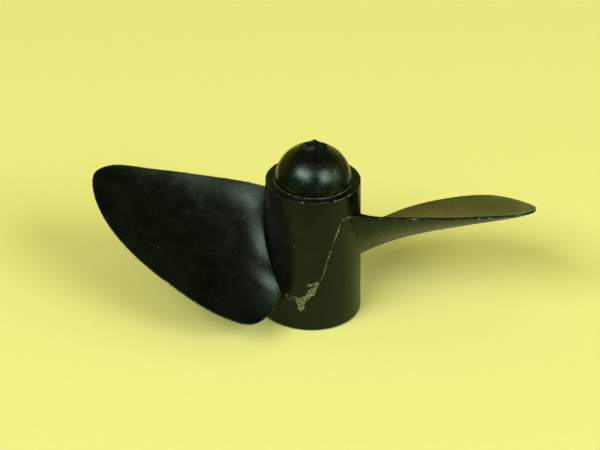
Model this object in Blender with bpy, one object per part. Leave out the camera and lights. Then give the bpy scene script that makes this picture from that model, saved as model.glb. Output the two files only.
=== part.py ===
"""A small two-bladed model-boat propeller: one black plastic moulding and the domed cap in its front end."""

import math

import bmesh
import bpy
import numpy as np

MM = 0.001

# Driving dimensions, in millimetres and degrees
PROPELLER_RADIUS = 25.0
HUB_LENGTH = 16.6
HUB_FRONT_RADIUS = 5.34
HUB_BACK_RADIUS = 5.78
HUB_EDGE_ROUND = 0.35
CAP_RADIUS = 4.36
CAP_SEAT_DEPTH = 4.0
DOME_DROP = 0.14
NUB_RADIUS = 1.46
NUB_TOP = 5.21
NUB_RIDGE_SLOPE = 0.42
NUB_FACET_SLOPE = 0.66
NUB_DEPTH = 1.0
SHAFT_BORE_RADIUS = 2.0
SHAFT_BORE_DEPTH = 10.0
CHAMFER = 0.35
FIT_GAP = 0.05

# The blade's design table, from the hub to the tip. A station is a share of the blade's length.
# Angles go round the shaft from the blade's middle line, and heights are above the hub's back end.
BLADE_ROOT_RADIUS = 5.55
TRAILING_STATIONS = (0.0, 0.25, 0.6, 0.9, 1.0)
TRAILING_ANGLES = (-31.4, -22.3, -15.35, -11.4, -5.75)
TRAILING_HEIGHTS = (13.65, 14.1, 14.65, 15.2, 14.85)
LEADING_STATIONS = (0.0, 0.2, 0.4, 0.5, 0.65, 0.8, 0.93, 1.0)
LEADING_ANGLES = (51.7, 58.1, 56.6, 49.05, 33.65, 19.6, 5.95, -5.75)
LEADING_HEIGHTS = (3.2, 3.15, 4.35, 5.7, 8.35, 10.8, 12.85, 14.85)
# How far a section's middle hangs below the line between its edges, as a share of its width
SAG_STATIONS = (0.0, 0.4, 0.8, 1.0)
SAG_SHARES = (0.112, 0.076, 0.056, 0.0)
CAMBER_START = 0.11

ROOT_THICKNESS = 1.46
TIP_THICKNESS = 0.35
THINNING = 0.7
EDGE_THICKNESS = 0.22
# The hollow where the blade runs into the hub: a tight arc in a wide one above, and one small one below
TOP_FILLET_WIDTH = 2.5
TOP_FILLET_ANGLE = 16.0
TOP_SWEEP_WIDTH = 5.6
TOP_SWEEP_ANGLE = 10.0
TOP_FILLET_AT_EDGES = 0.6
LOW_FILLET_WIDTH = 1.4
LOW_FILLET_HEIGHT = 0.3
LOW_FILLET_AT_EDGES = 0.5

HUB_SIDES = 72
RADIAL_STEPS = 30
ROOT_STEPS = 7
SIDE_POINTS = 16


def clear_scene():
    for thing in list(bpy.data.objects):
        bpy.data.objects.remove(thing, do_unlink=True)


def plastic(name, colour, roughness):
    material = bpy.data.materials.new(name)
    material.use_nodes = True
    shader = material.node_tree.nodes["Principled BSDF"]
    shader.inputs["Base Color"].default_value = (*colour, 1.0)
    shader.inputs["Roughness"].default_value = roughness
    shader.inputs["Metallic"].default_value = 0.0
    material.diffuse_color = (*colour, 1.0)
    return material


def add_object(name, bm, material=None):
    """Makes one object from a mesh in millimetres."""
    bmesh.ops.scale(bm, vec=(MM, MM, MM), verts=bm.verts)
    bmesh.ops.recalc_face_normals(bm, faces=bm.faces)
    mesh = bpy.data.meshes.new(name)
    bm.to_mesh(mesh)
    bm.free()
    if material:
        mesh.materials.append(material)
    mesh.shade_smooth()
    mesh.set_sharp_from_angle(angle=math.radians(32))
    made = bpy.data.objects.new(name, mesh)
    bpy.context.scene.collection.objects.link(made)
    return made


def turned(profile):
    """A closed solid of revolution about Z. Its profile starts and ends on the axis."""
    bm = bmesh.new()
    corners = [bm.verts.new((radius, 0.0, height)) for radius, height in profile]
    edges = [bm.edges.new(pair) for pair in zip(corners, corners[1:])]
    bmesh.ops.spin(
        bm,
        geom=corners + edges,
        axis=(0.0, 0.0, 1.0),
        cent=(0.0, 0.0, 0.0),
        angle=math.tau,
        steps=HUB_SIDES,
        use_merge=True,
    )
    bmesh.ops.remove_doubles(bm, verts=bm.verts, dist=1e-4)
    return bm


def arc(centre, radius, start, end, steps):
    """Profile points along an arc. Its angles are in degrees up from the outward direction."""
    angles = np.radians(np.linspace(start, end, steps + 1))
    return [(centre[0] + radius * math.cos(a), centre[1] + radius * math.sin(a)) for a in angles]


def design_curve(stations, values, share):
    """The value at this share of the blade's length, on a smooth curve that rounds off at the tip."""
    x = np.sqrt(1.0 - np.array(stations))[::-1]
    y = np.array(values)[::-1]
    at = math.sqrt(min(max(1.0 - share, 0.0), 1.0))
    steps = np.diff(x)
    rises = np.diff(y) / steps
    slopes = np.empty_like(y)
    slopes[1:-1] = (rises[:-1] * steps[1:] + rises[1:] * steps[:-1]) / (steps[1:] + steps[:-1])
    slopes[0] = 1.5 * rises[0] - 0.5 * slopes[1]
    slopes[-1] = 1.5 * rises[-1] - 0.5 * slopes[-2]
    i = min(max(int(np.searchsorted(x, at)) - 1, 0), len(steps) - 1)
    t = (at - x[i]) / steps[i]
    from_low = y[i] * (1 + 2 * t) + slopes[i] * steps[i] * t
    from_high = y[i + 1] * (3 - 2 * t) + slopes[i + 1] * steps[i] * (t - 1)
    return from_low * (1 - t) ** 2 + from_high * t**2


def hub_radius(height):
    taper = np.clip(height / HUB_LENGTH, 0.0, 1.0)
    return HUB_BACK_RADIUS + (HUB_FRONT_RADIUS - HUB_BACK_RADIUS) * taper


def middle_line(radius, share, along):
    """The middle of the blade's wall where a cylinder of this radius cuts it: distance round, height."""
    start = radius * math.radians(design_curve(TRAILING_STATIONS, TRAILING_ANGLES, share))
    end = radius * math.radians(design_curve(LEADING_STATIONS, LEADING_ANGLES, share))
    high = design_curve(TRAILING_STATIONS, TRAILING_HEIGHTS, share)
    low = design_curve(LEADING_STATIONS, LEADING_HEIGHTS, share)
    sag = design_curve(SAG_STATIONS, SAG_SHARES, share) * (end - start)
    rounds = start + (end - start) * along
    heights = high + (low - high) * along - sag * camber(along)
    return np.stack([rounds, heights], 1)


def camber(along):
    """The blade's hollow from edge to edge: 1 at its deepest, which lies near the trailing edge."""

    def hollow(place):
        return (1.0 - place) * (1.0 - np.exp(-place / CAMBER_START))

    return hollow(along) / hollow(np.linspace(0.0, 1.0, 200)).max()


def top_fillet(off_hub):
    """How far the hollow fillet on the upper side stands up, this far from the hub's wall."""
    rise = 0.0
    for width, angle in ((TOP_FILLET_WIDTH, TOP_FILLET_ANGLE), (TOP_SWEEP_WIDTH, TOP_SWEEP_ANGLE)):
        arc_radius = width / math.sin(math.radians(angle))
        inside = np.clip(width - off_hub, 0.0, width + 0.2)
        rise = rise + arc_radius - np.sqrt(arc_radius**2 - inside**2)
    return rise


def low_fillet(off_hub):
    inside = np.clip(1.0 - off_hub / LOW_FILLET_WIDTH, 0.0, 1.0)
    return LOW_FILLET_HEIGHT * (1.0 - np.sqrt(1.0 - inside**2))


def blade_section(radius):
    """The closed outline of the blade where a cylinder of this radius cuts it: points (angle, height)."""
    share = max(0.0, (radius - BLADE_ROOT_RADIUS) / (PROPELLER_RADIUS - BLADE_ROOT_RADIUS))
    turn = np.linspace(0.0, math.pi, SIDE_POINTS)
    middle = middle_line(radius, share, (1.0 - np.cos(turn)) / 2)
    run = np.gradient(middle, axis=0)
    run /= np.linalg.norm(run, axis=1)[:, None]
    normal = np.stack([-run[:, 1], run[:, 0]], 1)
    thickness = ROOT_THICKNESS + (TIP_THICKNESS - ROOT_THICKNESS) * share**THINNING
    bulge = np.sin(turn)
    off_hub = radius - hub_radius(middle[:, 1])
    above = (EDGE_THICKNESS + (thickness - EDGE_THICKNESS) * bulge**2) / 2
    above = above + top_fillet(off_hub) * (TOP_FILLET_AT_EDGES + (1 - TOP_FILLET_AT_EDGES) * bulge)
    below = (EDGE_THICKNESS + (thickness - EDGE_THICKNESS) * bulge) / 2
    below = below + low_fillet(off_hub) * (LOW_FILLET_AT_EDGES + (1 - LOW_FILLET_AT_EDGES) * bulge)
    upper = middle + normal * above[:, None]
    lower = middle - normal * below[:, None]
    outline = np.concatenate([upper, lower[::-1]])
    return [(rounds / radius, height) for rounds, height in outline]


def blade_radii():
    """Where the sections lie: one inside the hub's wall, close ones in the fillet, and then to the tip."""
    root = HUB_FRONT_RADIUS
    close = np.linspace(root - 0.1, HUB_BACK_RADIUS + TOP_FILLET_WIDTH, ROOT_STEPS)
    length = PROPELLER_RADIUS - BLADE_ROOT_RADIUS
    first = math.sqrt(1.0 - (close[-1] - BLADE_ROOT_RADIUS) / length)
    rest = PROPELLER_RADIUS - length * np.linspace(first, 0.03, RADIAL_STEPS) ** 2
    return [root - 0.7, *close[:-1], *rest]


def blade_shape(turn):
    """One blade, turned about the shaft's axis, with its root end inside the hub's wall."""
    bm = bmesh.new()
    loops = []
    for radius in blade_radii():
        loop = []
        for angle, height in blade_section(radius):
            a = angle + turn
            loop.append(bm.verts.new((radius * math.cos(a), radius * math.sin(a), height)))
        loops.append(loop)
    count = len(loops[0])
    for inside, outside in zip(loops, loops[1:]):
        for i in range(count):
            j = (i + 1) % count
            bm.faces.new((inside[i], inside[j], outside[j], outside[i]))
    for loop in (loops[0], loops[-1]):
        for i in range(count // 2 - 1):
            bm.faces.new((loop[i], loop[i + 1], loop[count - 2 - i], loop[count - 1 - i]))
    return bm


def hub_profile():
    """The hub's outline, from the blind end of the shaft's bore round to the floor of the cap's seat."""
    bore = [
        (0.0, SHAFT_BORE_DEPTH),
        (SHAFT_BORE_RADIUS, SHAFT_BORE_DEPTH),
        (SHAFT_BORE_RADIUS, CHAMFER),
        (SHAFT_BORE_RADIUS + CHAMFER, 0.0),
    ]
    edge = arc((HUB_BACK_RADIUS - HUB_EDGE_ROUND, HUB_EDGE_ROUND), HUB_EDGE_ROUND, -90, 0, 4)
    seat_radius = CAP_RADIUS + FIT_GAP
    seat_floor = HUB_LENGTH - CAP_SEAT_DEPTH - FIT_GAP
    seat = [(HUB_FRONT_RADIUS, HUB_LENGTH), (seat_radius, HUB_LENGTH), (seat_radius, seat_floor)]
    return bore + edge + seat + [(0.0, seat_floor)]


def cap_profile():
    """The cap's outline: a plug in the hub's front end, a half-round dome and the short stub on it."""
    floor = HUB_LENGTH - CAP_SEAT_DEPTH
    centre = HUB_LENGTH - DOME_DROP
    nub_turn = math.degrees(math.acos(NUB_RADIUS / CAP_RADIUS))
    plug = [(0.0, floor), (CAP_RADIUS - CHAMFER, floor), (CAP_RADIUS, floor + CHAMFER)]
    dome = arc((0.0, centre), CAP_RADIUS, 0, nub_turn, 14)
    stub = [(NUB_RADIUS * u, centre + NUB_TOP) for u in (1.0, 0.75, 0.5, 0.25)]
    return plug + dome + stub + [(0.0, centre + NUB_TOP)]


def cap_shape():
    """The cap, with its stub nipped off to a low ridge that runs from left to right."""
    bm = turned(cap_profile())
    top = HUB_LENGTH - DOME_DROP + NUB_TOP
    for corner in bm.verts:
        if corner.co.z > top - 0.001:
            x, y = corner.co.x, corner.co.y
            drop = NUB_RIDGE_SLOPE * abs(x + 0.1 * y) + NUB_FACET_SLOPE * abs(y - 0.08 * x)
            corner.co.z = top - min(drop, NUB_DEPTH)
    return bm


def join_blade(hub, blade):
    union = hub.modifiers.new(blade.name, "BOOLEAN")
    union.operation = "UNION"
    union.solver = "EXACT"
    union.object = blade
    blade.hide_render = True
    blade.display_type = "WIRE"


def build():
    clear_scene()
    satin = plastic("satin_black_plastic", (0.012, 0.014, 0.011), 0.42)
    gloss = plastic("gloss_black_plastic", (0.008, 0.01, 0.009), 0.22)
    moulding = add_object("propeller_moulding", turned(hub_profile()), satin)
    for name, turn in (("right_blade_shape", 0.0), ("left_blade_shape", math.pi)):
        join_blade(moulding, add_object(name, blade_shape(turn)))
    add_object("nose_cap", cap_shape(), gloss)


build()
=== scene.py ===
"""The looks of a small two-bladed model-boat propeller, which stands on the back end of its hub."""

import math
import random

import bpy
import numpy as np
from mathutils import Matrix, Vector


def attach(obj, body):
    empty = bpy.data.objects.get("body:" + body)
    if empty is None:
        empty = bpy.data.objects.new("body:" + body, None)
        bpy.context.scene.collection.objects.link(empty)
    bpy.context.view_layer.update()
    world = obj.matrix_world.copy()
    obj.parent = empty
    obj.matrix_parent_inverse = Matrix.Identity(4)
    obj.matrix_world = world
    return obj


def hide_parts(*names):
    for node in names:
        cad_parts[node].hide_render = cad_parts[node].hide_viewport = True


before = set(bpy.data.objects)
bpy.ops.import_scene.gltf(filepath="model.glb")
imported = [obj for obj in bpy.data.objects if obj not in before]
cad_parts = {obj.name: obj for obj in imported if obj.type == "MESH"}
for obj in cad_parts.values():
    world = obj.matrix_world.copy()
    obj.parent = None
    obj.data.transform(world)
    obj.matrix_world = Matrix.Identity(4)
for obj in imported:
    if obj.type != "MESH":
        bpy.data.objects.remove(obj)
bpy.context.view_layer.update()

MM = 0.001

# The part's own driving dimensions, in millimetres and degrees
PROPELLER_RADIUS = 25.0
HUB_LENGTH = 16.6
HUB_FRONT_RADIUS = 5.34
HUB_BACK_RADIUS = 5.78
HUB_EDGE_ROUND = 0.35
CAP_RADIUS = 4.36
DOME_DROP = 0.14
NUB_RADIUS = 1.46
NUB_TOP = 5.21
NUB_RIDGE_SLOPE = 0.42
NUB_FACET_SLOPE = 0.66
NUB_DEPTH = 1.0
SHAFT_BORE_RADIUS = 2.0
SHAFT_BORE_DEPTH = 10.0
CHAMFER = 0.35
FIT_GAP = 0.05

# The blade's design table, from the hub to the tip. A station is a share of the blade's length.
# Angles go round the shaft from the blade's middle line, and heights are above the hub's back end.
BLADE_ROOT_RADIUS = 5.55
TRAILING_STATIONS = (0.0, 0.25, 0.6, 0.9, 1.0)
TRAILING_ANGLES = (-31.4, -22.3, -15.35, -11.4, -5.75)
TRAILING_HEIGHTS = (13.65, 14.1, 14.65, 15.2, 14.85)
LEADING_STATIONS = (0.0, 0.2, 0.4, 0.5, 0.65, 0.8, 0.93, 1.0)
LEADING_ANGLES = (51.7, 58.1, 56.6, 49.05, 33.65, 19.6, 5.95, -5.75)
LEADING_HEIGHTS = (3.2, 3.15, 4.35, 5.7, 8.35, 10.8, 12.85, 14.85)
SAG_STATIONS = (0.0, 0.4, 0.8, 1.0)
SAG_SHARES = (0.112, 0.076, 0.056, 0.0)
CAMBER_START = 0.11

ROOT_THICKNESS = 1.46
TIP_THICKNESS = 0.35
THINNING = 0.7
EDGE_THICKNESS = 0.22
TOP_FILLET_WIDTH = 2.5
TOP_FILLET_ANGLE = 16.0
TOP_SWEEP_WIDTH = 5.6
TOP_SWEEP_ANGLE = 10.0
TOP_FILLET_AT_EDGES = 0.6
LOW_FILLET_WIDTH = 1.4
LOW_FILLET_HEIGHT = 0.3
LOW_FILLET_AT_EDGES = 0.5

HUB_SIDES = 288
RADIAL_STEPS = 130
ROOT_STEPS = 26
SIDE_POINTS = 72

# The flash line up the hub's front: degrees round the shaft and millimetres up
FLASH_ANGLES = (270.0, 275.3, 280.3, 282.9, 286.0, 289.1, 293.1, 297.9, 301.5, 305.5, 311.0, 314.5, 326.0, 340.0)
FLASH_HEIGHTS = (5.55, 6.06, 6.54, 6.95, 7.95, 9.24, 10.24, 11.71, 12.6, 13.5, 13.95, 13.98, 13.6, 13.05)
ROOT_END_ANGLES = (239.0, 247.1, 255.2, 265.0)
ROOT_END_HEIGHTS = (4.45, 4.26, 4.34, 4.45)
LOW_END_ANGLES = (241.0, 245.9, 252.6)
LOW_END_HEIGHTS = (4.2, 3.83, 4.03)

# The photograph's camera, in millimetres, degrees and pixels of its 600 by 450 frame
PHOTO_WIDTH = 600
FOCAL_PIXELS = 2500
CAMERA_DISTANCE = 283.8
CAMERA_ELEVATION = 31.53
CAMERA_YAW = 0.277
CAMERA_PITCH = 0.39
CAMERA_ROLL = -1.314
SENSOR_WIDTH = 36.0

# A green tint on the plastics' reflections. It stands in for the greenish colour of the lamps' light in the highlights.
GREEN_CAST = (0.78, 1.0, 0.78)
PAPER = (0.74, 0.74, 0.255)

# Each soft light's direction and size in degrees, its distance in metres, its radiance,
# and whether the glossy plastic reflects it
SOFTBOXES = (
    ("left_key", -40, 42, 1.2, (40, 22), (8.6, 9.0, 9.0), True),
    ("right_key", 42, 34, 0.9, (25, 26), (9.4, 9.9, 9.8), True),
    ("right_side", 78, 22, 1.0, (30, 26), (2.0, 2.0, 1.4), True),
    ("back_low", 176, 9, 1.2, (50, 10), (0.7, 0.7, 0.12), True),
    ("warm_fill", -6, 40, 1.5, (80, 50), (0.55, 0.49, 0.07), False),
    ("overhead_fill", 0, 86, 1.2, (90, 90), (0.26, 0.22, 0.03), False),
)


def mesh_object(name, points, faces, sharp=40.0):
    """An object from points in millimetres, shaded smooth up to an angle in degrees."""
    mesh = bpy.data.meshes.new(name)
    mesh.from_pydata((np.asarray(points) * MM).tolist(), [], faces)
    mesh.shade_smooth()
    mesh.set_sharp_from_angle(angle=math.radians(sharp))
    made = bpy.data.objects.new(name, mesh)
    bpy.context.scene.collection.objects.link(made)
    return made


def ring_faces(rows, count, start=0):
    """Faces of a tube of closed loops with this many points each."""
    faces = []
    for i in range(rows - 1):
        for j in range(count):
            a = start + i * count + j
            b = start + i * count + (j + 1) % count
            faces.append((a, b, b + count, a + count))
    return faces


def design_curve(stations, values, share):
    """Values at these shares of the blade's length, on a smooth curve that rounds off at the tip."""
    x = np.sqrt(1.0 - np.array(stations))[::-1]
    y = np.array(values)[::-1]
    at = np.sqrt(np.clip(1.0 - np.asarray(share, float), 0.0, 1.0))
    steps = np.diff(x)
    rises = np.diff(y) / steps
    slopes = np.empty_like(y)
    slopes[1:-1] = (rises[:-1] * steps[1:] + rises[1:] * steps[:-1]) / (steps[1:] + steps[:-1])
    slopes[0] = 1.5 * rises[0] - 0.5 * slopes[1]
    slopes[-1] = 1.5 * rises[-1] - 0.5 * slopes[-2]
    i = np.clip(np.searchsorted(x, at) - 1, 0, len(steps) - 1)
    t = (at - x[i]) / steps[i]
    from_low = y[i] * (1 + 2 * t) + slopes[i] * steps[i] * t
    from_high = y[i + 1] * (3 - 2 * t) + slopes[i + 1] * steps[i] * (t - 1)
    return from_low * (1 - t) ** 2 + from_high * t**2


def hub_radius(height):
    taper = np.clip(height / HUB_LENGTH, 0.0, 1.0)
    return HUB_BACK_RADIUS + (HUB_FRONT_RADIUS - HUB_BACK_RADIUS) * taper


def blade_radii():
    close = np.linspace(HUB_FRONT_RADIUS - 0.1, HUB_BACK_RADIUS + TOP_FILLET_WIDTH, ROOT_STEPS)
    length = PROPELLER_RADIUS - BLADE_ROOT_RADIUS
    first = math.sqrt(1.0 - (close[-1] - BLADE_ROOT_RADIUS) / length)
    rest = PROPELLER_RADIUS - length * np.linspace(first, 0.03, RADIAL_STEPS) ** 2
    return np.concatenate([close[:-1], rest])


def blade_sides():
    """Both sides of the blade as grids of points, from the hub to the tip and from edge to edge."""
    radius = blade_radii()[:, None]
    share = np.clip((radius - BLADE_ROOT_RADIUS) / (PROPELLER_RADIUS - BLADE_ROOT_RADIUS), 0.0, 1.0)
    turn = np.linspace(0.0, math.pi, SIDE_POINTS)[None, :]
    along = (1.0 - np.cos(turn)) / 2
    start = radius * np.radians(design_curve(TRAILING_STATIONS, TRAILING_ANGLES, share))
    end = radius * np.radians(design_curve(LEADING_STATIONS, LEADING_ANGLES, share))
    high = design_curve(TRAILING_STATIONS, TRAILING_HEIGHTS, share)
    low = design_curve(LEADING_STATIONS, LEADING_HEIGHTS, share)
    sag = design_curve(SAG_STATIONS, SAG_SHARES, share) * (end - start)
    middle = np.stack(
        [
            start + (end - start) * along,
            high + (low - high) * along - sag * camber(along),
        ],
        -1,
    )
    run = np.gradient(middle, axis=1)
    run /= np.linalg.norm(run, axis=2)[..., None]
    normal = np.stack([-run[..., 1], run[..., 0]], -1)
    thickness = ROOT_THICKNESS + (TIP_THICKNESS - ROOT_THICKNESS) * share**THINNING
    bulge = np.sin(turn)
    off_hub = radius - hub_radius(middle[..., 1])
    upper = EDGE_THICKNESS / 2 + (thickness - EDGE_THICKNESS) / 2 * bulge**2
    upper = upper + top_fillet(off_hub) * (TOP_FILLET_AT_EDGES + (1 - TOP_FILLET_AT_EDGES) * bulge)
    lower = EDGE_THICKNESS / 2 + (thickness - EDGE_THICKNESS) / 2 * bulge
    lower = lower + low_fillet(off_hub) * (LOW_FILLET_AT_EDGES + (1 - LOW_FILLET_AT_EDGES) * bulge)
    sides = []
    for way, out in ((1, upper), (-1, lower)):
        side = middle + way * normal * out[..., None]
        angle = side[..., 0] / radius
        sides.append(np.stack([radius * np.cos(angle), radius * np.sin(angle), side[..., 1]], -1))
    return sides


def camber(along):
    """The blade's hollow from edge to edge: 1 at its deepest, which lies near the trailing edge."""
    def hollow(place):
        return (1.0 - place) * (1.0 - np.exp(-place / CAMBER_START))

    return hollow(along) / hollow(np.linspace(0.0, 1.0, 200)).max()


def top_fillet(off_hub):
    """How far the hollow fillet on the upper side stands up, this far from the hub's wall."""
    rise = 0.0
    for width, angle in ((TOP_FILLET_WIDTH, TOP_FILLET_ANGLE), (TOP_SWEEP_WIDTH, TOP_SWEEP_ANGLE)):
        arc_radius = width / math.sin(math.radians(angle))
        inside = np.clip(width - off_hub, 0.0, width + 0.2)
        rise = rise + arc_radius - np.sqrt(arc_radius**2 - inside**2)
    return rise


def low_fillet(off_hub):
    inside = np.clip(1.0 - off_hub / LOW_FILLET_WIDTH, 0.0, 1.0)
    return LOW_FILLET_HEIGHT * (1.0 - np.sqrt(1.0 - inside**2))


def turned_about_shaft(points, turn):
    c, s = math.cos(turn), math.sin(turn)
    return points @ np.array([[c, s, 0.0], [-s, c, 0.0], [0.0, 0.0, 1.0]])


def arc(centre, radius, start, end, steps):
    """Profile points along an arc. Its angles are in degrees up from the outward direction."""
    angles = np.radians(np.linspace(start, end, steps + 1))
    return [(centre[0] + radius * math.cos(a), centre[1] + radius * math.sin(a)) for a in angles]


def turned_points(profile):
    """Points and faces of a solid of revolution. Its profile starts and ends on the axis."""
    radii, heights = np.array(profile[1:-1]).T
    angles = np.linspace(0.0, math.tau, HUB_SIDES, endpoint=False)
    rings = np.stack(
        [
            radii[:, None] * np.cos(angles),
            radii[:, None] * np.sin(angles),
            np.repeat(heights[:, None], HUB_SIDES, 1),
        ],
        -1,
    ).reshape(-1, 3)
    faces = ring_faces(len(radii), HUB_SIDES)
    first = list(range(HUB_SIDES))
    last = [i + (len(radii) - 1) * HUB_SIDES for i in first]
    points = np.concatenate([rings, [(0, 0, profile[0][1]), (0, 0, profile[-1][1])]])
    for ring, centre, flip in ((first, len(rings), False), (last, len(rings) + 1, True)):
        for j in range(HUB_SIDES):
            face = (centre, ring[(j + 1) % HUB_SIDES], ring[j])
            faces.append(face[::-1] if flip else face)
    return points, faces


def hub_profile():
    bore = [
        (0.0, SHAFT_BORE_DEPTH),
        (SHAFT_BORE_RADIUS, SHAFT_BORE_DEPTH),
        (SHAFT_BORE_RADIUS, CHAMFER),
        (SHAFT_BORE_RADIUS + CHAMFER, 0.0),
    ]
    edge = arc((HUB_BACK_RADIUS - HUB_EDGE_ROUND, HUB_EDGE_ROUND), HUB_EDGE_ROUND, -90, 0, 10)
    wall = [(float(hub_radius(z)), z) for z in np.linspace(HUB_EDGE_ROUND, HUB_LENGTH - 0.08, 30)[1:]]
    rim = arc((HUB_FRONT_RADIUS - 0.06, HUB_LENGTH - 0.06), 0.06, 10, 90, 4)
    seat = CAP_RADIUS + FIT_GAP
    lip = [(seat + 0.06, HUB_LENGTH), (seat, HUB_LENGTH - 0.06), (seat, HUB_LENGTH - 1.2)]
    return bore + edge + wall + rim + lip + [(0.0, HUB_LENGTH - 1.2)]


def cap_profile():
    centre = HUB_LENGTH - DOME_DROP
    nub_turn = math.degrees(math.acos(NUB_RADIUS / CAP_RADIUS))
    foot = centre + math.sqrt(CAP_RADIUS**2 - NUB_RADIUS**2)
    plug = [(0.0, HUB_LENGTH - 1.1), (CAP_RADIUS, HUB_LENGTH - 1.1)]
    dome = arc((0.0, centre), CAP_RADIUS, 0, nub_turn - 2.0, 60)
    groove = [(NUB_RADIUS + 0.1, foot - 0.06), (NUB_RADIUS + 0.02, foot - 0.05)]
    wall = [(NUB_RADIUS, foot), (NUB_RADIUS, foot + 0.05)]
    stub = [(NUB_RADIUS * u, centre + NUB_TOP) for u in np.linspace(1.0, 0.02, 34)]
    return plug + dome + groove + wall + stub + [(0.0, centre + NUB_TOP)]


def moulding():
    """The hub and its two blades, as the one moulding that they are."""
    points, faces = turned_points(hub_profile())
    upper, lower = blade_sides()
    loops = np.concatenate([upper, lower[:, ::-1]], 1)
    rows, count = loops.shape[:2]
    for turn in (0.0, math.pi):
        start = len(points)
        points = np.concatenate([points, turned_about_shaft(loops.reshape(-1, 3), turn)])
        faces += [face[::-1] for face in ring_faces(rows, count, start)]
        last = start + (rows - 1) * count
        for i in range(count // 2 - 1):
            faces.append((last + i, last + i + 1, last + count - 2 - i, last + count - 1 - i))
    return mesh_object("plastic_moulding", points, faces)


def uneven(count, step, seed):
    """Numbers from 0 to 1 that wander smoothly along a line, the same each run."""
    rng = random.Random(seed)
    knots = [rng.random() for _ in range(int(count / step) + 3)]
    at = np.arange(count) / step
    i = at.astype(int)
    t = at - i
    t = t * t * (3 - 2 * t)
    knots = np.array(knots)
    return knots[i] * (1 - t) + knots[i + 1] * t


def rough_field(x, y, size, seed):
    """The same over a surface, with features of about this size."""
    rng = np.random.default_rng(seed)
    grid = rng.random((64, 64))
    u, v = x / size, y / size
    i, j = np.floor(u).astype(int), np.floor(v).astype(int)
    a, b = u - i, v - j
    a, b = a * a * (3 - 2 * a), b * b * (3 - 2 * b)
    corner = grid[i % 64, j % 64] * (1 - a) + grid[(i + 1) % 64, j % 64] * a
    other = grid[i % 64, (j + 1) % 64] * (1 - a) + grid[(i + 1) % 64, (j + 1) % 64] * a
    return corner * (1 - b) + other * b


def cap():
    """The domed cap. A short stub stands on it, nipped off to a low ridge."""
    points, faces = turned_points(cap_profile())
    centre = HUB_LENGTH - DOME_DROP
    on_stub = points[:, 2] > centre + NUB_TOP - 0.001
    across, deep = np.abs(points[:, 0] + 0.1 * points[:, 1]), np.abs(points[:, 1] - 0.08 * points[:, 0])
    broken = rough_field(points[:, 0] + 9, points[:, 1] + 9, 0.4, 4) - 0.5
    nipped = centre + NUB_TOP - NUB_RIDGE_SLOPE * across - NUB_FACET_SLOPE * deep + 0.09 * broken
    points[:, 2] = np.where(on_stub, np.maximum(nipped, centre + NUB_TOP - NUB_DEPTH), points[:, 2])
    return mesh_object("domed_cap", points, faces, sharp=25.0)


def beads(name, path, thickness, seed, gaps=0.0):
    """A thin uneven line of flash along a path in millimetres, which sinks out of sight at its gaps."""
    path = np.asarray(path)
    count = len(path)
    swell = 0.55 * uneven(count, 3.0, seed) + 0.45 * uneven(count, 9.0, seed + 1)
    radius = thickness * np.clip((swell - gaps) / (1.0 - gaps), 0.02, 1.0)
    ahead = np.gradient(path, axis=0)
    ahead /= np.linalg.norm(ahead, axis=1)[:, None]
    side = np.cross(ahead, (0.3, 0.2, 0.93))
    side /= np.linalg.norm(side, axis=1)[:, None]
    other = np.cross(ahead, side)
    path = path + side * ((uneven(count, 4.0, seed + 2) - 0.5) * thickness)[:, None]
    turn = np.linspace(0, math.tau, 6, endpoint=False)
    rings = path[:, None] + radius[:, None, None] * (
        side[:, None] * np.cos(turn)[None, :, None] + other[:, None] * np.sin(turn)[None, :, None]
    )
    faces = ring_faces(count, 6) + [tuple(range(6)), tuple(range(6 * count - 1, 6 * count - 7, -1))]
    return rings.reshape(-1, 3), faces


def joined(name, parts):
    points, faces = [], []
    start = 0
    for part_points, part_faces in parts:
        points.append(part_points)
        faces += [tuple(i + start for i in face) for face in part_faces]
        start += len(part_points)
    return mesh_object(name, np.concatenate(points), faces, sharp=60.0)


def on_hub(angles, heights, lift=0.0):
    """Points on the hub's wall, from angles in degrees and heights in millimetres."""
    angles, heights = np.radians(angles), np.asarray(heights, float)
    radius = hub_radius(heights) + lift
    return np.stack([radius * np.cos(angles), radius * np.sin(angles), heights], -1)


def hub_line(angles, heights, step=0.05):
    """A path on the hub's wall through these places, with a point every step of a millimetre."""
    length = np.concatenate([[0], np.cumsum(np.hypot(np.diff(angles) * 0.096, np.diff(heights)))])
    at = np.arange(0, length[-1], step)
    smooth = np.hanning(9) / np.hanning(9).sum()
    a, h = (np.interp(at, length, values) for values in (angles, heights))
    a[4:-4], h[4:-4] = (np.convolve(values, smooth, "valid") for values in (a, h))
    return on_hub(a, h, 0.0)


def half_turned(part):
    points, faces = part
    return turned_about_shaft(points, math.pi), faces


def even_path(path, step=0.05):
    length = np.concatenate([[0], np.cumsum(np.linalg.norm(np.diff(path, axis=0), axis=1))])
    at = np.arange(0, length[-1], step)
    return np.stack([np.interp(at, length, path[:, k]) for k in range(3)], -1)


def parting_flash_and_edge_highlight():
    """The thin line left where the mould's halves met: up the hub's front and along the blades' edges. Along the
    blades' edges its pale colour is partly the flash's own and partly a painted highlight for the light rim of those
    edges.
    """
    upper, lower = blade_sides()
    clear = blade_radii() > HUB_FRONT_RADIUS + 0.3
    parts = [
        beads("hub", hub_line(FLASH_ANGLES, FLASH_HEIGHTS), 0.105, 3, 0.12),
        half_turned(beads("hub", hub_line(FLASH_ANGLES, FLASH_HEIGHTS), 0.09, 5, 0.2)),
        beads("root", hub_line(ROOT_END_ANGLES, ROOT_END_HEIGHTS), 0.07, 8, 0.1),
        beads("root", hub_line(LOW_END_ANGLES, LOW_END_HEIGHTS), 0.06, 9, 0.15),
    ]
    for seed, edge, thickness, gaps in (
        (21, lower[clear, 0], 0.1, 0.64),
        (31, (upper[clear, -1] + lower[clear, -1]) / 2, 0.09, 0.5),
    ):
        part = beads("edge", even_path(edge), thickness, seed, gaps)
        parts += [part, half_turned(beads("edge", even_path(edge), thickness, seed + 4, gaps))]
    return joined("parting_flash_and_edge_highlight", parts)


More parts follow.
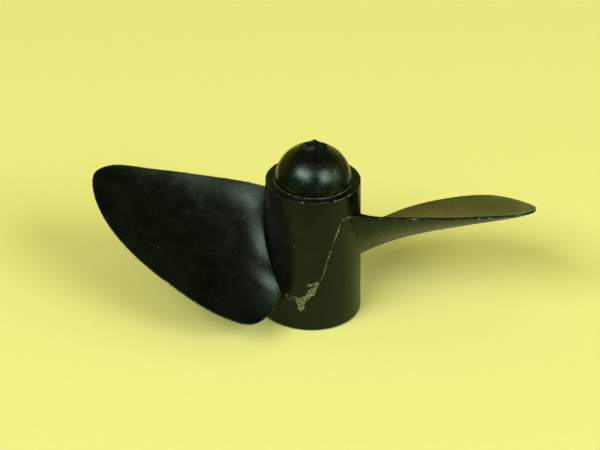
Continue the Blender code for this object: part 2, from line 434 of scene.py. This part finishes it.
def gate_scar():
    """The torn patch and the smear on the hub's front, where the moulding was broken off its runner."""
    angles = np.linspace(250.0, 282.0, 130)
    heights = np.linspace(2.2, 7.1, 150)
    a, z = np.meshgrid(angles, heights, indexing="ij")
    x = a * 0.0965
    wander = rough_field(x, z, 0.35, 11) - 0.5
    corners = [(252.3 * 0.0965, 4.12), (259.4 * 0.0965, 2.6), (265.8 * 0.0965, 4.45)]
    smear = np.full(x.shape, 9.0)
    for (x0, z0), (x1, z1) in zip(corners, corners[1:] + corners[:1]):
        away = ((x1 - x0) * (z - z0) - (z1 - z0) * (x - x0)) / math.hypot(x1 - x0, z1 - z0)
        smear = np.minimum(smear, away)
    smear = smear + wander * 0.18
    torn = np.full(x.shape, -9.0)
    for (x0, z0), (x1, z1), wide in (
        ((264.5 * 0.0965, 4.3), (272.5 * 0.0965, 5.5), 0.34),
        ((267.5 * 0.0965, 6.1), (278.0 * 0.0965, 6.35), 0.24),
        ((272.5 * 0.0965, 4.9), (277.0 * 0.0965, 6.1), 0.22),
        ((259.0 * 0.0965, 2.9), (261.5 * 0.0965, 3.6), 0.26),
    ):
        t = np.clip(((x - x0) * (x1 - x0) + (z - z0) * (z1 - z0)) / ((x1 - x0) ** 2 + (z1 - z0) ** 2), 0, 1)
        away = np.hypot(x - x0 - t * (x1 - x0), z - z0 - t * (z1 - z0))
        torn = np.maximum(torn, wide - away + wander * 0.3)
    fine = rough_field(x, z, 0.13, 12)
    lift = np.full(x.shape, -0.03)
    inside = np.clip(smear / 0.03, 0, 1)
    rim = np.exp(-((smear - 0.04) / 0.05) ** 2)
    lift = np.where(smear > 0, -0.03 + inside * (0.045 + 0.05 * rim * fine), lift)
    lift = np.where(torn > 0, np.maximum(lift, -0.03 + np.clip(torn / 0.06, 0, 1) * (0.05 + 0.17 * (fine - 0.25))), lift)
    points = on_hub(a, z, lift).reshape(-1, 3)
    rows, columns = a.shape
    faces = []
    for i in range(rows - 1):
        for j in range(columns - 1):
            if lift[i : i + 2, j : j + 2].max() > -0.02:
                k = i * columns + j
                faces.append((k, k + columns, k + columns + 1, k + 1))
    return mesh_object("gate_scar", points, faces, sharp=70.0)


def rim_burrs_and_edge_highlight():
    """Thin pale beads round the cap's foot and on the hub's front rim: partly burrs, and partly a painted highlight for
    the bright lines along these two edges.
    """
    turn = np.linspace(0, math.tau, 620)

    def ring(radius, height):
        return np.stack([radius * np.cos(turn), radius * np.sin(turn), np.full_like(turn, height)], -1)

    parts = [
        beads("foot", ring(CAP_RADIUS + 0.03, HUB_LENGTH + 0.01), 0.075, 41, 0.12),
        beads("rim", ring(HUB_FRONT_RADIUS - 0.03, HUB_LENGTH - 0.03), 0.07, 51, 0.4),
    ]
    return joined("rim_burrs_and_edge_highlight", parts)


def new_material(name, colour, roughness, ior=1.47, tint=(1.0, 1.0, 1.0)):
    material = bpy.data.materials.new(name)
    material.use_nodes = True
    shader = material.node_tree.nodes["Principled BSDF"]
    shader.inputs["Base Color"].default_value = (*colour, 1.0)
    shader.inputs["Roughness"].default_value = roughness
    shader.inputs["IOR"].default_value = ior
    shader.inputs["Specular Tint"].default_value = (*tint, 1.0)
    return material, material.node_tree, shader


def add(tree, kind, **inputs):
    """A node, with the values of its inputs. A socket that is given is linked."""
    node = tree.nodes.new(kind)
    for name, value in inputs.items():
        socket = node.inputs[name.replace("_", " ")]
        if isinstance(value, bpy.types.NodeSocket):
            tree.links.new(value, socket)
        else:
            socket.default_value = value
    return node


def millimetres(tree):
    """The object's own coordinates, in millimetres."""
    where = tree.nodes.new("ShaderNodeTexCoord")
    scaled = tree.nodes.new("ShaderNodeVectorMath")
    scaled.operation = "SCALE"
    scaled.inputs["Scale"].default_value = 1000.0
    tree.links.new(where.outputs["Object"], scaled.inputs[0])
    return scaled.outputs[0]


def noise(tree, where, scale, detail=3.0, roughness=0.6):
    return add(tree, "ShaderNodeTexNoise", Vector=where, Scale=scale, Detail=detail, Roughness=roughness).outputs["Fac"]


def stretched(tree, where, scale, turn=(0.0, 0.0, 0.0)):
    node = tree.nodes.new("ShaderNodeMapping")
    node.inputs["Scale"].default_value = scale
    node.inputs["Rotation"].default_value = [math.radians(a) for a in turn]
    tree.links.new(where, node.inputs["Vector"])
    return node.outputs[0]


def arithmetic(tree, operation, first, second=0.0):
    node = tree.nodes.new("ShaderNodeMath")
    node.operation = operation
    for socket, value in zip(node.inputs, (first, second)):
        if isinstance(value, bpy.types.NodeSocket):
            tree.links.new(value, socket)
        else:
            socket.default_value = value
    return node.outputs[0]


def blend_colours(tree, share, first, second):
    node = tree.nodes.new("ShaderNodeMix")
    node.data_type = "RGBA"
    for name, value in (("A", first), ("B", second)):
        if isinstance(value, bpy.types.NodeSocket):
            tree.links.new(value, node.inputs[name])
        else:
            node.inputs[name].default_value = (*value, 1.0)
    tree.links.new(share, node.inputs["Factor"])
    return node.outputs["Result"]


def specks(tree, where, spacing, size):
    """Small scattered dots, 1 inside and 0 outside, of uneven sizes in millimetres."""
    cells = add(tree, "ShaderNodeTexVoronoi", Vector=where, Scale=1.0 / spacing, Randomness=1.0)
    parts = tree.nodes.new("ShaderNodeSeparateXYZ")
    tree.links.new(cells.outputs["Color"], parts.inputs[0])
    reach = arithmetic(tree, "MULTIPLY", parts.outputs[0], size / spacing)
    ragged = arithmetic(tree, "MULTIPLY", noise(tree, where, 9.0), 0.9 * size / spacing)
    inside = arithmetic(tree, "SUBTRACT", arithmetic(tree, "SUBTRACT", reach, cells.outputs["Distance"]), ragged)
    return map_range(tree, inside, 0.0, 0.25 * size / spacing, 0.0, 1.0)


def scratches(tree, where, stretch, turn, width):
    """Faint lines at the crests of a stretched noise."""
    lines = noise(tree, stretched(tree, where, stretch, turn), 1.0, 2.0)
    off_crest = arithmetic(tree, "ABSOLUTE", arithmetic(tree, "SUBTRACT", lines, 0.5))
    return map_range(tree, off_crest, width, 0.0, 0.0, 1.0)


def bump(tree, height, strength, distance, under=None):
    node = add(tree, "ShaderNodeBump", Height=height, Strength=strength, Distance=distance * MM)
    if under:
        tree.links.new(under, node.inputs["Normal"])
    return node.outputs[0]


def satin_plastic():
    """Black moulded plastic: faintly grained, with fine scuffs and a little pale dust."""
    material, tree, shader = new_material("satin_black_moulding", (0.0012, 0.002, 0.001), 0.36, 1.34, GREEN_CAST)
    where = millimetres(tree)
    grain = noise(tree, where, 4.5, 3.0)
    broad = noise(tree, where, 0.45, 2.0)
    scuffs = arithmetic(
        tree,
        "MAXIMUM",
        scratches(tree, where, (0.5, 3.2, 1.1), (0, 20, 35), 0.012),
        scratches(tree, where, (2.6, 0.6, 0.9), (15, 0, -25), 0.009),
    )
    scuffs = arithmetic(tree, "MULTIPLY", scuffs, map_range(tree, broad, 0.45, 0.62, 0.0, 1.0))
    dust = arithmetic(tree, "MAXIMUM", specks(tree, where, 0.95, 0.15), specks(tree, where, 0.5, 0.06))
    colour = blend_colours(tree, broad, (0.0006, 0.0012, 0.0006), (0.0020, 0.0032, 0.0017))
    colour = blend_colours(tree, arithmetic(tree, "MULTIPLY", scuffs, 0.35), colour, (0.022, 0.032, 0.020))
    colour = blend_colours(tree, dust, colour, (0.17, 0.21, 0.14))
    tree.links.new(colour, shader.inputs["Base Color"])
    rough = map_range(tree, arithmetic(tree, "ADD", grain, arithmetic(tree, "MULTIPLY", broad, 0.6)), 0.5, 1.1, 0.25, 0.39)
    rough = arithmetic(tree, "ADD", rough, arithmetic(tree, "MULTIPLY", dust, 0.3))
    tree.links.new(rough, shader.inputs["Roughness"])
    fine = bump(tree, noise(tree, where, 6.5, 3.0), 0.5, 0.02, bump(tree, grain, 0.3, 0.02))
    marks = bump(tree, arithmetic(tree, "ADD", scuffs, dust), 0.4, 0.015, fine)
    tree.links.new(marks, shader.inputs["Normal"])
    return material


def gloss_plastic():
    """The cap's glossy black plastic, with faint turning marks round the dome, scuffs and dust."""
    material, tree, shader = new_material("gloss_black_cap", (0.001, 0.002, 0.001), 0.24, 1.46, GREEN_CAST)
    where = millimetres(tree)
    grain = noise(tree, where, 5.0, 4.0, 0.7)
    broad = noise(tree, where, 0.8, 2.0)
    rings = noise(tree, stretched(tree, where, (0.35, 0.35, 5.5)), 1.0, 4.0, 0.7)
    pits = specks(tree, where, 0.5, 0.2)
    dust = specks(tree, where, 0.8, 0.16)
    colour = blend_colours(tree, dust, (0.001, 0.002, 0.001), (0.16, 0.2, 0.13))
    tree.links.new(colour, shader.inputs["Base Color"])
    rough = map_range(tree, arithmetic(tree, "ADD", grain, arithmetic(tree, "MULTIPLY", broad, 0.8)), 0.6, 1.2, 0.19, 0.36)
    tree.links.new(arithmetic(tree, "ADD", rough, arithmetic(tree, "MULTIPLY", dust, 0.3)), shader.inputs["Roughness"])
    turned = bump(tree, rings, 0.25, 0.02)
    fine = bump(tree, grain, 0.4, 0.02, turned)
    marks = bump(tree, arithmetic(tree, "SUBTRACT", dust, pits), 0.4, 0.012, fine)
    tree.links.new(marks, shader.inputs["Normal"])
    return material


def torn_plastic(name, dark, pale):
    """Thin flash and torn edges, paler than the moulding. On the torn scar that is the thin, rough plastic's own
    colour; on the beads along the blades' edges and round the rims it is partly that and partly a painted highlight.
    """
    material, tree, shader = new_material(name, dark, 0.42, 1.45, (0.88, 1.0, 0.86))
    where = millimetres(tree)
    crumbs = noise(tree, where, 6.0, 4.0, 0.7)
    share = map_range(tree, crumbs, 0.42, 0.66, 0.0, 1.0)
    tree.links.new(blend_colours(tree, share, dark, pale), shader.inputs["Base Color"])
    tree.links.new(map_range(tree, crumbs, 0.3, 0.7, 0.3, 0.6), shader.inputs["Roughness"])
    tree.links.new(bump(tree, crumbs, 0.5, 0.04), shader.inputs["Normal"])
    return material


def flat_sheets(name, height, *sheets):
    """Rectangles that lie flat, each given as its left, right, near and far sides in metres."""
    points, faces = [], []
    for left, right, near, far in sheets:
        k = len(points)
        points += [(left, near, height), (right, near, height), (right, far, height), (left, far, height)]
        faces.append((k, k + 1, k + 2, k + 3))
    mesh = bpy.data.meshes.new(name)
    mesh.from_pydata(points, [], faces)
    made = bpy.data.objects.new(name, mesh)
    bpy.context.scene.collection.objects.link(made)
    return made


def paper(name, colour):
    """Plain paper with the faintest grain."""
    material, tree, shader = new_material(name, colour, 0.9)
    shader.inputs["Specular IOR Level"].default_value = 0.1
    grain = noise(tree, millimetres(tree), 0.9, 4.0)
    darker, paler = ([value * share for value in colour] for share in (0.98, 1.02))
    tree.links.new(blend_colours(tree, grain, darker, paler), shader.inputs["Base Color"])
    return material


def floor():
    made = flat_sheets("paper_floor", 0.0, (-0.9, 0.9, -0.9, 0.9))
    made.data.materials.append(paper("pale_paper", PAPER))


def dark_cards():
    """Dark cards in front and at both sides, beyond what the camera sees. Only reflections show them."""
    made = flat_sheets("dark_cards", 0.0005, (-0.5, 0.5, -0.6, -0.04), (-0.5, -0.06, -0.04, 0.5), (0.06, 0.5, -0.04, 0.5))
    made.data.materials.append(paper("dark_card", (0.04, 0.045, 0.02)))
    made.visible_camera = False
    made.visible_diffuse = False
    made.visible_shadow = False


def softbox(name, azimuth, elevation, distance, size, colour, reflected):
    """A soft light that faces the propeller, with this much radiance. Azimuth 0 is the front, and right is positive."""
    a, e = math.radians(azimuth), math.radians(elevation)
    toward = Vector((math.sin(a) * math.cos(e), -math.cos(a) * math.cos(e), math.sin(e)))
    light = bpy.data.lights.new(name, "AREA")
    light.shape = "RECTANGLE"
    light.size, light.size_y = (2 * distance * math.tan(math.radians(side / 2)) for side in size)
    light.energy = math.pi * light.size * light.size_y * max(colour)
    light.color = [value / max(colour) for value in colour]
    made = bpy.data.objects.new(name, light)
    made.location = Vector((0, 0, 0.012)) + toward * distance
    made.rotation_mode = "QUATERNION"
    made.rotation_quaternion = toward.to_track_quat("Z", "Y")
    made.visible_camera = False
    made.visible_glossy = reflected
    bpy.context.scene.collection.objects.link(made)


def lights():
    for settings in SOFTBOXES:
        softbox(*settings)


def room():
    """A dim room, with a yellowish sweep low down behind the propeller."""
    world = bpy.data.worlds.new("dim_room")
    world.use_nodes = True
    tree = world.node_tree
    shade = tree.nodes["Background"]
    where = tree.nodes.new("ShaderNodeTexCoord")
    parts = tree.nodes.new("ShaderNodeSeparateXYZ")
    tree.links.new(where.outputs["Generated"], parts.inputs[0])
    low = map_range(tree, parts.outputs["Z"], 0.75, 0.15, 0.0, 1.0)
    behind = map_range(tree, parts.outputs["Y"], -0.1, 0.6, 0.0, 1.0)
    both = tree.nodes.new("ShaderNodeMath")
    both.operation = "MULTIPLY"
    tree.links.new(low, both.inputs[0])
    tree.links.new(behind, both.inputs[1])
    mix = tree.nodes.new("ShaderNodeMix")
    mix.data_type = "RGBA"
    mix.inputs["A"].default_value = (0.07, 0.07, 0.03, 1.0)
    mix.inputs["B"].default_value = (0.34, 0.32, 0.05, 1.0)
    tree.links.new(both.outputs[0], mix.inputs["Factor"])
    tree.links.new(mix.outputs["Result"], shade.inputs[0])
    bpy.context.scene.world = world


def map_range(tree, value, from_low, from_high, to_low, to_high):
    node = tree.nodes.new("ShaderNodeMapRange")
    node.interpolation_type = "SMOOTHSTEP"
    for name, number in zip(("From Min", "From Max", "To Min", "To Max"), (from_low, from_high, to_low, to_high)):
        node.inputs[name].default_value = number
    tree.links.new(value, node.inputs["Value"])
    return node.outputs["Result"]


def camera():
    e = math.radians(CAMERA_ELEVATION)
    middle = HUB_LENGTH / 2
    place = Vector((0.0, -CAMERA_DISTANCE * math.cos(e), middle + CAMERA_DISTANCE * math.sin(e)))
    right = Vector((1.0, 0.0, 0.0))
    ahead = Vector((0.0, math.cos(e), -math.sin(e)))
    up = right.cross(ahead)
    yaw = Matrix.Rotation(math.radians(CAMERA_YAW), 3, up)
    right, ahead = yaw @ right, yaw @ ahead
    pitch = Matrix.Rotation(math.radians(CAMERA_PITCH), 3, right)
    up, ahead = pitch @ up, pitch @ ahead
    roll = Matrix.Rotation(math.radians(CAMERA_ROLL), 3, ahead)
    right, up = roll @ right, roll @ up
    data = bpy.data.cameras.new("photo_camera")
    data.sensor_width = SENSOR_WIDTH
    data.lens = FOCAL_PIXELS / PHOTO_WIDTH * SENSOR_WIDTH
    data.clip_start = 0.01
    data.clip_end = 10.0
    made = bpy.data.objects.new("photo_camera", data)
    turn = Matrix((right, up, -ahead)).transposed().to_4x4()
    made.matrix_world = Matrix.Translation(place * MM) @ turn
    bpy.context.scene.collection.objects.link(made)
    bpy.context.scene.camera = made


def dress(piece, material, body, node):
    piece.data.materials.append(material)
    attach(piece, body)
    if node:
        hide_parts(node)


def build():
    camera()
    lights()
    room()
    floor()
    dark_cards()
    dress(moulding(), satin_plastic(), "root", "propeller_moulding")
    dress(cap(), gloss_plastic(), "root", "nose_cap")
    # The pale flash colour is partly the flash's own and partly a painted highlight on the edges and rims that it
    # lines.
    flash = torn_plastic("pale_flash_and_painted_highlight", (0.03, 0.04, 0.018), (0.26, 0.31, 0.16))
    scar = torn_plastic("torn_scar", (0.018, 0.026, 0.010), (0.20, 0.24, 0.11))
    dress(parting_flash_and_edge_highlight(), flash, "root", None)
    dress(gate_scar(), scar, "root", None)
    dress(rim_burrs_and_edge_highlight(), flash, "root", None)
    bpy.context.scene.view_settings.view_transform = "Standard"


build()
